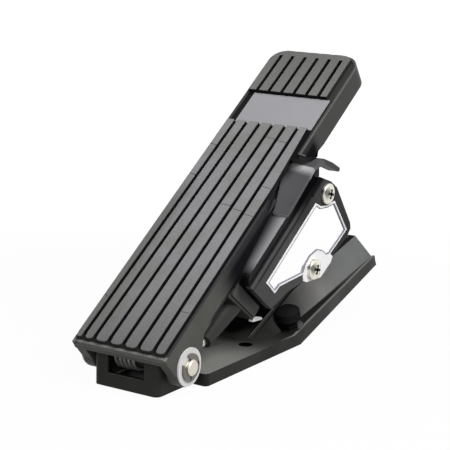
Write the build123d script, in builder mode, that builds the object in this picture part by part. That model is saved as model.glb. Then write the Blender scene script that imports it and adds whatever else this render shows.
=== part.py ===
from build123d import *
from math import asin, cos, pi, sin, tan, radians
import os

os.makedirs("parts", exist_ok=True)

# Driving sizes of the treadle, in millimetres and degrees
treadle_width = 70.0
treadle_length = 280.0
rest_angle = 35.0
hinge_height = 18.0
hinge_set_back = 14.0
hinge_drop = 20.5
wall = 3.0
toe_corner = 13.5
deck_top = 2.5
deck_bottom = 6.0
side_depth = 16.6
toe_depth = 15.5
ear_thickness = 7.0
ear_radius = 14.0

# Tread pad and badge plate
pad_gap = 0.4
pad_rim = 2.0
pad_sheet_top = 0.3
rib_rise = 3.2
groove_width = 2.8
rib_heel = 4.6
rib_taper_start = 150.0
lower_field_end = 203.5
upper_field_start = 235.0
badge_left = 4.6
badge_right = 1.0
badge_ends = 0.8
badge_thickness = 0.6
pad_lip = 1.9

# Hinge
pin_radius = 5.0
running_clearance = 0.05
bush_wall = 2.0
side_clearance = 0.3
washer_radius = 12.0
washer_thickness = 1.2
clip_radius = 8.6
clip_thickness = 1.2
pin_overhang = 1.6

# Base casting
base_overhang = 0.5
base_thickness = 8.0
base_start = 20.0
flat_end = 126.0
left_end = 190.0
box_gap = 3.8
box_front = 15.5
box_wall = 7.0
box_corner = 4.0
chamber_floor = 5.0
post_left = 10.8
post_right = 10.4
window_bottom = 8.5
mount_spacing = 40.4
mount_along = 88.3
mount_hole = 9.4
arm_width = 22.5
arm_angle = 17.0
arm_end = 238.0
arm_thickness = 7.0
arm_rim_width = 2.0
arm_rim_rise = 3.4
hump_start = 106.0
hump_crest = 153.5
fin_thickness = 1.0
fin_rise = 1.0

# Bracket that hangs from the treadle
cheek_gap = 0.8
cheek_thickness = 3.7
flange_top = 18.7
flange_thickness = 3.0
flange_reach = 27.0
flange_start = 80.0
flange_end = 181.0
strap_thickness = 2.2
ear_tip_radius = 1.3
strap_bend = 5.0
liner_width = 1.25
liner_proud = 0.6
window_lip = 1.2
window_relief = 2.4
post_radius = 5.0
post_bore = 1.7
screw_head_radius = 7.1
screw_head_edge = 2.6
screw_head_rise = 4.2
recess_span = 5.4
recess_width = 1.5
upper_shank = 12.0
lower_shank = 4.0
flange_head_radius = 4.2
flange_head_rise = 2.4
flange_screw_grip = 9.0
web_step = 1.2
return_reach = 16.0

half_width = treadle_width / 2
base_half = half_width + base_overhang
cheek_in = base_half + cheek_gap
cheek_out = cheek_in + cheek_thickness
ear_in = half_width - ear_thickness
box_half = ear_in - box_gap
box_width = 2 * box_half
window_left = box_half - post_left
window_right = box_half - post_right
arm_left = base_half - arm_width
flange_left = half_width - flange_reach
ca = cos(radians(rest_angle))
sa = sin(radians(rest_angle))

# Heel edge of the tread plane and the planes measured from it
heel_y = -hinge_set_back * ca - hinge_drop * sa
heel_z = hinge_height - hinge_set_back * sa + hinge_drop * ca


def tread(depth=0.0):
    return Plane(
        origin=(0, heel_y + depth * sa, heel_z - depth * ca),
        x_dir=(1, 0, 0),
        z_dir=(0, -sa, ca),
    )


def side(x):
    return Plane(origin=(x, heel_y, heel_z), x_dir=(0, ca, sa), z_dir=(1, 0, 0))


def upright(x):
    return Plane(origin=(x, 0, 0), x_dir=(0, 1, 0), z_dir=(1, 0, 0))


def below(points):
    return [(along, -depth) for along, depth in points]


def in_tread(x, along, depth):
    return Vector(
        x,
        heel_y + along * ca + depth * sa,
        heel_z + along * sa - depth * ca,
    )


# Half profile of a turned piece with a shallow domed end, axis along the first coordinate
def domed_profile(foot, radius, edge, rise):
    sphere = (radius**2 + (rise - edge) ** 2) / (2 * (rise - edge))
    half = asin(radius / sphere) / 2
    dome = [
        (rise - sphere * (1 - cos(angle)), sphere * sin(angle))
        for angle in (1.5 * half, half, 0.5 * half)
    ]
    Polyline((rise, 0), (foot, 0), (foot, radius), (edge, radius), *dome, (rise, 0))


# Treadle shell: rimmed tray with skirts, hinge ears and posts for the bracket
inner_half = half_width - wall
rim_half = half_width - pad_rim
notch_half = inner_half - 3.5
notch_plan = [
    (half_width + 1, flange_end - 56.0),
    (notch_half, flange_end - 21.0),
    (notch_half, flange_end - 6.0),
    (half_width + 1, flange_end - 6.0),
]
heel_edge = [(0.0, 0.0), (1.0, 10.0), (2.2, 18.0)]
right_skirt = heel_edge + [
    (20.0, 20.0),
    (38.0, side_depth),
    (72.0, side_depth),
    (101.0, 13.0),
    (132.0, 8.4),
    (146.0, deck_bottom),
    (flange_end + 5.0, deck_bottom),
    (flange_end + 16.2, toe_depth + 1.6),
    (flange_end + 19.5, toe_depth - 1.1),
    (flange_end + 27.0, toe_depth),
    (treadle_length, toe_depth),
    (treadle_length, 0.0),
]
left_skirt = heel_edge + [
    (20.0, 20.0),
    (38.0, side_depth),
    (190.0, side_depth),
    (204.0, toe_depth),
    (treadle_length, toe_depth),
    (treadle_length, 0.0),
]
post_x = half_width - 19.0
post_near = 102.0
post_far = flange_end - 15.0
with BuildPart() as treadle_shell:
    with BuildSketch(tread(0)) as tray_outline:
        with Locations((0, treadle_length / 2)):
            Rectangle(treadle_width, treadle_length)
        toe = tray_outline.vertices().group_by(Axis.Y)[-1]
        fillet(toe, radius=toe_corner)
    extrude(amount=-deck_bottom)
    with BuildSketch(side(half_width - wall)):
        Polygon(*below(right_skirt), align=None)
    extrude(amount=wall)
    with BuildSketch(side(-half_width)):
        Polygon(*below(left_skirt), align=None)
    extrude(amount=wall)
    with BuildSketch(tread(0)) as toe_wall:
        with Locations((0, treadle_length - toe_corner - 1)):
            Rectangle(treadle_width, 2 * toe_corner + 2)
        fillet(toe_wall.vertices().group_by(Axis.Y)[-1], radius=toe_corner)
    extrude(amount=-toe_depth)
    with BuildSketch(tread(deck_bottom)) as toe_hollow:
        with Locations((0, treadle_length - toe_corner - wall - 1)):
            Rectangle(2 * inner_half, 2 * toe_corner + 2)
        fillet(toe_hollow.vertices().group_by(Axis.Y)[-1], radius=toe_corner - wall)
    extrude(amount=-toe_depth, mode=Mode.SUBTRACT)
    # Square corners of the skirts outside the rounded toe
    with BuildSketch(tread(-1)) as toe_trim:
        with Locations((0, treadle_length)):
            Rectangle(treadle_width + 4, 2 * toe_corner)
        with Locations((0, treadle_length - toe_corner)):
            RectangleRounded(treadle_width, 2 * toe_corner, toe_corner - 0.01, mode=Mode.SUBTRACT)
        with Locations((0, treadle_length - toe_corner - toe_corner / 2)):
            Rectangle(treadle_width + 4, toe_corner, mode=Mode.SUBTRACT)
    extrude(amount=-toe_depth - 2, mode=Mode.SUBTRACT)
    # Tray for the pad, open at the heel
    with BuildSketch(tread(deck_top)) as tray:
        with Locations((0, (treadle_length - pad_rim) / 2)):
            Rectangle(2 * rim_half, treadle_length - pad_rim)
        fillet(tray.vertices().group_by(Axis.Y)[-1], radius=toe_corner - pad_rim)
    extrude(amount=deck_top + 1, mode=Mode.SUBTRACT)
    # Notch in the right rim over the strap, its toe end slanted
    with BuildSketch(tread(-1)):
        Polygon(*notch_plan, align=None)
    extrude(amount=-deck_bottom - 1.2, mode=Mode.SUBTRACT)
    with BuildSketch(side(notch_half)):
        Polygon(
            *below([(flange_end - 8.0, -1.0), (flange_end - 0.9, -1.0), (flange_end + 5.0, deck_bottom),
                    (flange_end + 6.0, deck_bottom + 1.2), (flange_end - 8.0, deck_bottom + 1.2)]),
            align=None,
        )
    extrude(amount=half_width - notch_half + 1, mode=Mode.SUBTRACT)
    # Ears around the hinge line
    for face_x in (ear_in, -half_width):
        with BuildSketch(side(face_x)):
            with Locations((hinge_set_back, -hinge_drop)):
                Circle(ear_radius - 1.5)
            Polygon(
                *below([(0.25, deck_top), (1.0, 10.0), (2.2, 18.0), (8.0, 30.0), (22.0, 30.0),
                        (38.0, side_depth), (38.0, deck_top)]),
                align=None,
            )
        extrude(amount=ear_thickness)
    with BuildSketch(side(-half_width)):
        with Locations((hinge_set_back, -hinge_drop)):
            Circle(pin_radius + running_clearance + bush_wall)
    extrude(amount=treadle_width, mode=Mode.SUBTRACT)
    # Posts that carry the bracket flange
    with BuildSketch(tread(deck_bottom)):
        with Locations((post_x, post_near), (post_x, post_far)):
            Circle(post_radius)
            Circle(post_bore, mode=Mode.SUBTRACT)
    extrude(amount=-(flange_top - deck_bottom))
treadle_shell.part.label = "treadle_shell"
export_step(treadle_shell.part, "parts/treadle_shell.step")

# Tread pad: sheet with two fields of slightly converging ribs
pad_half = rim_half - pad_gap
pad_end = treadle_length - pad_rim - pad_gap
groove_heel = [pad_half * share for share in (-0.847, -0.595, -0.258, 0.080, 0.417, 0.767)]
groove_toe = [pad_half * share for share in (-0.767, -0.475, -0.169, 0.123, 0.417, 0.693)]
rib_edges_heel = [-pad_half - groove_width / 2] + groove_heel + [pad_half + groove_width / 2]
rib_edges_toe = [-pad_half - groove_width / 2] + groove_toe + [pad_half + groove_width / 2]


def rib_line(index, along):
    share = along / pad_end
    return rib_edges_heel[index] * (1 - share) + rib_edges_toe[index] * share


# Right edge of the last rib, drawn in beside the toe wall
def right_edge(along):
    return pad_half - min(3.6, 0.05 * max(0.0, along - rib_taper_start))


with BuildPart() as tread_pad:
    with BuildSketch(tread(deck_top)) as sheet:
        with Locations((0, (pad_end + 0.8) / 2)):
            Rectangle(2 * pad_half, pad_end - 0.8)
        fillet(sheet.vertices().group_by(Axis.Y)[-1], radius=toe_corner - pad_rim - pad_gap)
    extrude(amount=deck_top - pad_sheet_top)
    for index in range(7):
        for start, end in ((rib_heel, lower_field_end), (upper_field_start, pad_end)):
            with BuildSketch(tread(pad_sheet_top)) as rib:
                flank = [(rib_line(index + 1, along) - groove_width / 2, along) for along in (start, end)]
                if index == 6:
                    stations = [along for along in (start, rib_taper_start, end) if start <= along <= end]
                    flank = [(right_edge(along), along) for along in stations]
                Polygon(
                    (rib_line(index, start) + groove_width / 2, start),
                    *flank,
                    (rib_line(index, end) + groove_width / 2, end),
                    align=None,
                )
                if start == rib_heel:
                    breadth = rib_line(index + 1, start) - rib_line(index, start) - groove_width
                    fillet(rib.vertices().group_by(Axis.Y)[0], radius=min(3.2, 0.45 * breadth))
            extrude(amount=rib_rise)
    # Rounded toe corners of the outer ribs
    with BuildSketch(tread(pad_sheet_top)) as rib_trim:
        with Locations((0, pad_end)):
            Rectangle(2 * pad_half + 4, 2 * toe_corner)
        with Locations((0, pad_end - toe_corner)):
            RectangleRounded(2 * pad_half, 2 * toe_corner, toe_corner - pad_rim - pad_gap,
                             mode=Mode.SUBTRACT)
        with Locations((0, pad_end - toe_corner - toe_corner / 2)):
            Rectangle(2 * pad_half + 4, toe_corner, mode=Mode.SUBTRACT)
    extrude(amount=rib_rise + 1, mode=Mode.SUBTRACT)
    # Lip left over the notch
    with BuildSketch(tread(deck_top + 1)):
        Polygon(*notch_plan, align=None)
    extrude(amount=deck_top + 1 - pad_sheet_top + rib_rise - pad_lip, mode=Mode.SUBTRACT)
tread_pad.part.label = "tread_pad"
export_step(tread_pad.part, "parts/tread_pad.step")

# Badge plate lying bare between the two rib fields
badge_width = 2 * pad_half - badge_left - badge_right
with BuildPart() as badge_plate:
    with BuildSketch(tread(pad_sheet_top)):
        with Locations(((badge_left - badge_right) / 2, (lower_field_end + upper_field_start) / 2)):
            Rectangle(badge_width, upper_field_start - lower_field_end - 2 * badge_ends)
    extrude(amount=badge_thickness)
badge_plate.part.label = "badge_plate"
export_step(badge_plate.part, "parts/badge_plate.step")

# Base casting: flat plate, hinge box, rising toe arm with a hump
arm_slope = tan(radians(arm_angle))
arm_lift = arm_thickness / cos(radians(arm_angle))


def arm_top(y):
    return base_thickness + (y - flat_end) * arm_slope


arm_end_top = arm_top(arm_end)
end_back = arm_thickness * sin(radians(arm_angle))
buffer_x = base_half - 10.5
buffer_y = 137.0
buffer_seat = 10.0
buffer_floor = arm_top(buffer_y) - arm_rim_rise
ramp = Plane(
    origin=(buffer_x, buffer_y, buffer_floor),
    x_dir=(1, 0, 0),
    z_dir=(0, -sin(radians(arm_angle)), cos(radians(arm_angle))),
)
crest_top = 29.6
hump_sections = [
    (hump_start, base_thickness - 3, base_thickness + 0.2, arm_left + 3.5, arm_left + 11.0,
     base_thickness - 0.5),
    (hump_crest, base_thickness - 1, crest_top, arm_left + 3.0, arm_left + 11.0,
     arm_top(hump_crest) - arm_rim_rise),
    (arm_end - 1.2, arm_end_top - 6.0, arm_end_top + 12.4, arm_left + 6.0, base_half - 2.6,
     arm_end_top - 0.8),
]
with BuildPart() as base_casting:
    with BuildSketch(Plane.XY) as plate:
        Polygon(
            (-base_half, base_start),
            (base_half, base_start),
            (base_half, flat_end + 6),
            (arm_left, flat_end + 6),
            (arm_left, left_end),
            (-base_half, left_end),
            align=None,
        )
        fillet(plate.vertices().group_by(Axis.Y)[0], radius=3.0)
        fillet(plate.vertices().group_by(Axis.Y)[-1].sort_by(Axis.X)[0], radius=9.0)
    extrude(amount=base_thickness)
    # Hinge box with rounded top around the pin
    with BuildSketch(upright(-box_half)):
        Polygon(
            (-box_front, 0),
            (base_start + 6, 0),
            (base_start + 6, base_thickness),
            (14.0, base_thickness + 6),
            (8.5, hinge_height + 8.0),
            (-8.0, hinge_height + 7.4),
            (-box_front, 21.6),
            align=None,
        )
    extrude(amount=box_width)
    fillet(base_casting.edges().filter_by(Axis.Z).group_by(Axis.Y)[0], radius=box_corner)
    # Toe arm on the right with its raised rim
    with BuildSketch(upright(arm_left)):
        Polygon(
            (110.0, 0),
            (flat_end + 8.0, 0),
            (arm_end + end_back, arm_end_top - arm_lift),
            (arm_end, arm_end_top - arm_rim_rise),
            (flat_end + arm_rim_rise / arm_slope, base_thickness),
            (110.0, base_thickness),
            align=None,
        )
    extrude(amount=base_half - arm_left)
    with BuildSketch(upright(base_half - arm_rim_width)):
        Polygon(
            (flat_end, base_thickness - 1),
            (flat_end, base_thickness),
            (arm_end - arm_rim_rise * arm_slope, arm_end_top),
            (arm_end + arm_rim_rise * arm_slope, arm_end_top - 2 * arm_rim_rise),
            (flat_end + 8, base_thickness - 1),
            align=None,
        )
    extrude(amount=arm_rim_width)
    for near, far in zip(hump_sections[:-1], hump_sections[1:]):
        for y, low, high, crest, foot, foot_z in (near, far):
            with BuildSketch(Plane(origin=(0, y, 0), x_dir=(1, 0, 0), z_dir=(0, -1, 0))):
                Polygon(
                    (arm_left, low),
                    (foot, low),
                    (foot, foot_z),
                    (crest, high),
                    (arm_left, high),
                    align=None,
                )
        loft(ruled=True)
    # Thin fin along the left edge of the hump
    with BuildSketch(upright(arm_left)):
        Polygon(
            (hump_start - 4, base_thickness - 0.5),
            (hump_start - 3, base_thickness + 0.4),
            (hump_crest, crest_top + fin_rise),
            (hump_crest + 8, crest_top + 2.4 + fin_rise),
            (hump_crest + 8, 24.0),
            (hump_start + 6, base_thickness - 0.5),
            align=None,
        )
    extrude(amount=fin_thickness)
    # Spring chamber, open above, with the front window
    with BuildSketch(Plane.XY.offset(chamber_floor)):
        with Locations((0, 2.0)):
            Rectangle(box_width - 2 * box_wall, 27.0)
    extrude(amount=hinge_height + 20, mode=Mode.SUBTRACT)
    with BuildSketch(Plane(origin=(0, -box_front, 0), x_dir=(1, 0, 0), z_dir=(0, -1, 0))):
        Polygon(
            (-window_left, window_bottom),
            (window_right, window_bottom),
            (window_right, hinge_height + 12),
            (-window_left, hinge_height + 12),
            align=None,
        )
    extrude(amount=-8.0, mode=Mode.SUBTRACT)
    # Pin bores, floor bolt holes and the buffer stud hole
    with BuildSketch(upright(-box_half)):
        with Locations((0, hinge_height)):
            Circle(pin_radius)
    extrude(amount=box_width, mode=Mode.SUBTRACT)
    with BuildSketch(Plane.XY):
        with Locations((mount_spacing / 2, mount_along), (-mount_spacing / 2, mount_along)):
            Circle(mount_hole / 2)
    extrude(amount=base_thickness + 1, mode=Mode.SUBTRACT)
    with BuildSketch(ramp):
        Circle(4.0)
    extrude(amount=-30.0, mode=Mode.SUBTRACT)
    with BuildSketch(ramp):
        Circle(buffer_seat)
    extrude(amount=24.0, mode=Mode.SUBTRACT)
base_casting.part.label = "base_casting"
export_step(base_casting.part, "parts/base_casting.step")

# Hinge pin with grooves for the retaining clips
clip_at = half_width + side_clearance + washer_thickness
pin_end = clip_at + clip_thickness + pin_overhang
with BuildPart() as hinge_pin:
    with BuildSketch(upright(-pin_end)):
        with Locations((0, hinge_height)):
            Circle(pin_radius)
    extrude(amount=2 * pin_end)
    chamfer(hinge_pin.edges().filter_by(GeomType.CIRCLE), length=0.6)
    for groove_x in (clip_at, -clip_at - clip_thickness):
        with BuildSketch(upright(groove_x)):
            with Locations((0, hinge_height)):
                Circle(pin_radius + 1)
                Circle(pin_radius - 1.0, mode=Mode.SUBTRACT)
        extrude(amount=clip_thickness, mode=Mode.SUBTRACT)
hinge_pin.part.label = "hinge_pin"
export_step(hinge_pin.part, "parts/hinge_pin.step")

# Washers beside the ears
with BuildPart() as pin_washers:
    for face_x in (half_width + side_clearance, -half_width - side_clearance - washer_thickness):
        with BuildSketch(upright(face_x)):
            with Locations((0, hinge_height)):
                Circle(washer_radius)
                Circle(pin_radius, mode=Mode.SUBTRACT)
        extrude(amount=washer_thickness)
pin_washers.part.label = "pin_washers"
export_step(pin_washers.part, "parts/pin_washers.step")

# Open retaining clips seated in the pin grooves
with BuildPart() as retaining_clips:
    for face_x in (clip_at, -clip_at - clip_thickness):
        with BuildSketch(upright(face_x)):
            with Locations((0, hinge_height)):
                Circle(clip_radius)
                Circle(pin_radius - 1.0, mode=Mode.SUBTRACT)
            with Locations((clip_radius / 2, hinge_height)):
                Rectangle(clip_radius, 2 * pin_radius - 3.4, mode=Mode.SUBTRACT)
            with Locations((-clip_radius * 0.45, hinge_height + clip_radius * 0.62)):
                Circle(1.5, mode=Mode.SUBTRACT)
            with Locations((-clip_radius * 0.45, hinge_height - clip_radius * 0.62)):
                Circle(1.5, mode=Mode.SUBTRACT)
        extrude(amount=clip_thickness)
retaining_clips.part.label = "retaining_clips"
export_step(retaining_clips.part, "parts/retaining_clips.step")

# Flanged bushes of the ears, running on the pin
with BuildPart() as hinge_bushes:
    for start_x, flange_x in ((ear_in, box_half + side_clearance), (-half_width, -ear_in)):
        with BuildSketch(upright(start_x)):
            with Locations((0, hinge_height)):
                Circle(pin_radius + running_clearance + bush_wall)
                Circle(pin_radius + running_clearance, mode=Mode.SUBTRACT)
        extrude(amount=ear_thickness)
        with BuildSketch(upright(flange_x)):
            with Locations((0, hinge_height)):
                Circle(pin_radius + 4.0)
                Circle(pin_radius + running_clearance, mode=Mode.SUBTRACT)
        extrude(amount=ear_in - box_half - side_clearance)
hinge_bushes.part.label = "hinge_bushes"
export_step(hinge_bushes.part, "parts/hinge_bushes.step")

# Sleeve on the pin inside the spring
chamber_half = box_half - box_wall
sleeve_radius = pin_radius + 1.9
with BuildPart() as spring_sleeve:
    with BuildSketch(upright(-chamber_half)):
        with Locations((0, hinge_height)):
            Circle(sleeve_radius)
            Circle(pin_radius, mode=Mode.SUBTRACT)
    extrude(amount=2 * chamber_half)
spring_sleeve.part.label = "spring_sleeve"
export_step(spring_sleeve.part, "parts/spring_sleeve.step")

# Torsion return spring: coil on the sleeve, one leg down to the chamber floor and one up to the deck
wire = 1.15
coil_radius = sleeve_radius + wire + 0.1
coil_pitch = 3.3
coil_turns = 5
leg_clearance = 0.3
coil_start = -chamber_half + 2.6
coil_steps = 24
coil_end = coil_start + coil_pitch * coil_turns
deck_over_hinge = hinge_drop - deck_bottom
leg_top = hinge_height + (deck_over_hinge + (coil_radius - wire) * sa) / ca - leg_clearance
coil_points = [
    (
        coil_start + coil_pitch * step / coil_steps,
        coil_radius * cos(2 * pi * step / coil_steps),
        hinge_height + coil_radius * sin(2 * pi * step / coil_steps),
    )
    for step in range(coil_steps * coil_turns + 1)
]
with BuildPart() as return_spring:
    with BuildLine():
        Polyline(
            (coil_start, coil_radius, chamber_floor),
            *coil_points,
            (coil_end, coil_radius, leg_top),
        )
    with BuildSketch(Plane.XY.offset(chamber_floor)):
        with Locations((coil_start, coil_radius)):
            RegularPolygon(wire, 6)
    sweep(transition=Transition.RIGHT)
return_spring.part.label = "return_spring"
export_step(return_spring.part, "parts/return_spring.step")

# Faces of the sensor that the bracket clears
sensor_left = half_width - 23.0
sensor_right = half_width - 6.0
cover_rise = 1.2
sensor_face = sensor_right + cover_rise

# Bracket: side cheek with a window, top flange under the deck, screw boss
cheek_outline = [
    (85.0, 24.5),
    (88.0, flange_top + 1.2),
    (91.5, flange_top),
    (flange_end, flange_top),
    (flange_end + 5.0, 23.5),
    (flange_end + 15.4, 37.6),
    (flange_end + 19.4, 47.1),
    (flange_end + 20.5, 81.6),
    (flange_end + 18.8, 85.8),
    (flange_end + 12.2, 87.1),
    (170.6, 83.9),
    (166.5, 85.5),
    (151.1, 84.4),
    (136.0, 73.4),
    (133.2, 70.4),
    (116.2, 61.1),
    (94.8, 55.4),
]
window_outline = [
    (99.7, 36.0),
    (flange_end - 7.8, 35.8),
    (flange_end - 4.4, 41.9),
    (flange_end + 3.1, 47.8),
    (flange_end + 11.6, 52.2),
    (flange_end + 13.7, 81.7),
    (168.3, 79.6),
    (163.7, 76.8),
    (161.2, 70.6),
    (157.0, 65.4),
    (148.7, 62.4),
    (141.2, 62.9),
    (136.4, 65.6),
    (110.0, 49.7),
    (103.1, 49.1),
]
upper_screw = (flange_end + 6.1, 40.1)
lower_screw = (146.0, 70.7)
screw_hole = 3.0
with BuildPart() as bracket_frame:
    with BuildSketch(side(cheek_in)):
        Polygon(*below(cheek_outline), align=None)
    extrude(amount=cheek_thickness)
    # Top flange reaching in under the deck
    with BuildSketch(tread(flange_top)):
        Polygon(
            (flange_left, flange_start),
            (half_width - wall, flange_start),
            (half_width - wall, 90.0),
            (cheek_in, 91.5),
            (cheek_in, flange_end),
            (flange_left, flange_end),
            align=None,
        )
    extrude(amount=-flange_thickness)
    # Return at the heel end beside the sensor
    with BuildSketch(side(cheek_in - return_reach)):
        Polygon(
            *below([(92.8, flange_top + 1), (96.0, flange_top + 1), (104.5, 57.4), (101.5, 56.8)]),
            align=None,
        )
    extrude(amount=return_reach)
    # Step and groove along the upper web of the cheek
    with BuildSketch(side(cheek_out - web_step)):
        Polygon(
            *below([(80.0, flange_top - 1), (flange_end + 8, flange_top - 1), (flange_end + 8, 24.4),
                    (80.0, 24.4)]),
            align=None,
        )
    extrude(amount=web_step + 1, mode=Mode.SUBTRACT)
    with BuildSketch(side(cheek_out - 0.8)):
        Polygon(
            *below([(93.5, 28.0), (flange_end - 7.0, 28.0), (flange_end - 8.0, 30.0), (94.0, 30.0)]),
            align=None,
        )
    extrude(amount=1.8, mode=Mode.SUBTRACT)
    # Boss behind the upper screw
    with BuildSketch(side(cheek_in)):
        with Locations((upper_screw[0], -upper_screw[1])):
            Circle(8.6)
    extrude(amount=-15.0, taper=4)
    with BuildSketch(side(cheek_out + 1)):
        Polygon(*below(window_outline), align=None)
    extrude(amount=-cheek_thickness - 2, mode=Mode.SUBTRACT)
    # Window widened behind its front lip
    with BuildSketch(side(cheek_in - 1)):
        Polygon(*below(window_outline), align=None)
        offset(amount=window_relief, kind=Kind.INTERSECTION, mode=Mode.ADD)
    extrude(amount=cheek_thickness + 1 - window_lip, mode=Mode.SUBTRACT)
    with BuildSketch(tread(flange_top + flange_thickness + 1)):
        with Locations((post_x, post_near), (post_x, post_far)):
            Circle(post_bore + 0.4)
    extrude(amount=flange_thickness + 2, mode=Mode.SUBTRACT)
    with BuildSketch(side(cheek_out + 1)):
        with Locations((upper_screw[0], -upper_screw[1]), (lower_screw[0], -lower_screw[1])):
            Circle(screw_hole)
    extrude(amount=-cheek_thickness - 12, mode=Mode.SUBTRACT)
bracket_frame.part.label = "bracket_frame"
export_step(bracket_frame.part, "parts/bracket_frame.step")

# Bright liner set in the window, with a lug under the lower screw
liner_face = cheek_out + liner_proud
lug_outline = [
    (133.4, 69.4),
    (136.0, 73.2),
    (151.1, 84.2),
    (166.4, 85.3),
    (170.4, 83.7),
    (168.9, 78.6),
    (164.6, 76.0),
    (162.4, 70.2),
    (158.0, 64.5),
    (149.1, 61.2),
    (140.8, 61.7),
    (135.4, 64.7),
]
with BuildPart() as window_liner:
    with BuildSketch(side(cheek_out - window_lip)):
        Polygon(*below(window_outline), align=None)
        offset(amount=-liner_width, kind=Kind.INTERSECTION, mode=Mode.SUBTRACT)
    extrude(amount=window_lip + liner_proud)
    with BuildSketch(side(cheek_out)):
        Polygon(*below(lug_outline), align=None)
        with Locations((lower_screw[0], -lower_screw[1])):
            Circle(screw_hole, mode=Mode.SUBTRACT)
    extrude(amount=liner_proud)
window_liner.part.label = "window_liner"
export_step(window_liner.part, "parts/window_liner.step")

# Domed cross-head screws of the cheek
with BuildPart() as bracket_screws:
    for place, seat, shank in ((upper_screw, cheek_out, upper_shank), (lower_screw, liner_face, lower_shank)):
        centre = in_tread(seat, *place)
        with BuildSketch(Plane(origin=centre, x_dir=(1, 0, 0), z_dir=(0, -sa, ca))):
            with BuildLine():
                domed_profile(0.0, screw_head_radius, screw_head_edge, screw_head_rise)
            make_face()
        revolve(axis=Axis(centre, (1, 0, 0)))
        with BuildSketch(side(seat + screw_head_rise - 1.5)):
            with Locations((place[0], -place[1])):
                Rectangle(recess_span, recess_width, rotation=rest_angle)
                Rectangle(recess_width, recess_span, rotation=rest_angle)
        extrude(amount=2.0, mode=Mode.SUBTRACT)
        with BuildSketch(side(seat)):
            with Locations((place[0], -place[1])):
                Circle(screw_hole)
        extrude(amount=-shank)
bracket_screws.part.label = "bracket_screws"
export_step(bracket_screws.part, "parts/bracket_screws.step")

# Pan-head screws that hold the flange to the posts
with BuildPart() as flange_screws:
    with BuildSketch(tread(flange_top + flange_thickness)):
        with Locations((post_x, post_near), (post_x, post_far)):
            Circle(flange_head_radius)
    extrude(amount=-flange_head_rise)
    with BuildSketch(tread(flange_top + flange_thickness)):
        with Locations((post_x, post_near), (post_x, post_far)):
            Circle(post_bore)
    extrude(amount=flange_thickness + flange_screw_grip)
flange_screws.part.label = "flange_screws"
export_step(flange_screws.part, "parts/flange_screws.step")

# Support strap: ramp on the flange, round bend and a short ear
strap_start = flange_end - 38.7
strap_side = [
    (strap_start, flange_top),
    (strap_start, flange_top - strap_thickness),
    (flange_end + 3.5, 13.7),
    (flange_end + 16.5, 18.0),
    (flange_end + 23.8, 28.2),
    (flange_end + 29.6, 38.6),
    (flange_end + 26.8, 39.6),
    (flange_end + 20.8, 30.4),
    (flange_end + 14.8, 21.0),
    (flange_end + 2.6, 16.4),
    (flange_end - 31.0, flange_top),
]
strap_plan = [
    (cheek_out, strap_start - 2.0),
    (cheek_out - 10.6, strap_start - 2.0),
    (cheek_out - 11.4, strap_start + 4.0),
    (cheek_out - 23.0, flange_end + 5.0),
    (cheek_out - 23.0, flange_end + 15.0),
    (cheek_out - 10.0, flange_end + 18.0),
    (cheek_out - 7.0, flange_end + 31.0),
    (cheek_out, flange_end + 31.0),
]
with BuildPart() as support_strap:
    with BuildSketch(side(0)) as strap_profile:
        Polygon(*below(strap_side), align=None)
        bend = strap_profile.vertices().group_by(Axis.Y)[-1]
        fillet(bend, radius=strap_bend)
        tip = strap_profile.vertices().sort_by(Axis.Y)[:2]
        fillet(tip, radius=ear_tip_radius)
    extrude(amount=cheek_out)
    with BuildSketch(tread(60)):
        Polygon(*strap_plan, align=None)
    extrude(amount=70, mode=Mode.INTERSECT)
support_strap.part.label = "support_strap"
export_step(support_strap.part, "parts/support_strap.step")

# Sensor body at the heel end of the bracket, with cover, boot and lead nipple
flange_under = flange_top + flange_thickness
sensor_side = [
    (74.6, 24.2),
    (79.0, flange_under),
    (92.4, flange_under),
    (92.4, 26.0),
    (88.0, 26.0),
    (97.4, 58.8),
    (86.7, 59.7),
]
cover_side = [
    (77.4, 25.6),
    (86.0, 23.8),
    (95.4, 57.4),
    (87.8, 58.0),
]
with BuildPart() as sensor_body:
    with BuildSketch(side(sensor_left)):
        Polygon(*below(sensor_side), align=None)
    extrude(amount=sensor_right - sensor_left)
sensor_body.part.label = "sensor_body"
export_step(sensor_body.part, "parts/sensor_body.step")

with BuildPart() as sensor_cover:
    with BuildSketch(side(sensor_right)) as cover_sketch:
        Polygon(*below(cover_side), align=None)
        fillet(cover_sketch.vertices(), radius=1.2)
    extrude(amount=cover_rise)
sensor_cover.part.label = "sensor_cover"
export_step(sensor_cover.part, "parts/sensor_cover.step")

boot_tip = (sensor_right - 6.5, 45.6, 36.0)
boot_root = (sensor_right - 8.5, 88.0, 42.0)
boot_from = in_tread(*boot_tip)
boot_axis = (in_tread(*boot_root) - boot_from).normalized()
boot_length = (in_tread(*boot_root) - boot_from).length
boot_plane = Plane(origin=boot_from, x_dir=(1, 0, 0), z_dir=boot_axis)
boot_radius = 5.2
with BuildPart() as sensor_boot:
    with BuildSketch(boot_plane):
        Circle(boot_radius)
    extrude(amount=boot_length, taper=-4.4)
    add(sensor_body.part, mode=Mode.SUBTRACT)
    with BuildSketch(boot_plane.offset(boot_length)):
        Circle(30.0)
    extrude(amount=-4.0, mode=Mode.SUBTRACT)
sensor_boot.part.label = "sensor_boot"
export_step(sensor_boot.part, "parts/sensor_boot.step")

with BuildPart() as lead_nipple:
    with BuildSketch(boot_plane):
        Circle(2.6)
    extrude(amount=-4.6)
    chamfer(lead_nipple.faces().sort_by(Axis.Y)[0].edges(), length=0.8)
lead_nipple.part.label = "lead_nipple"
export_step(lead_nipple.part, "parts/lead_nipple.step")

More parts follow.
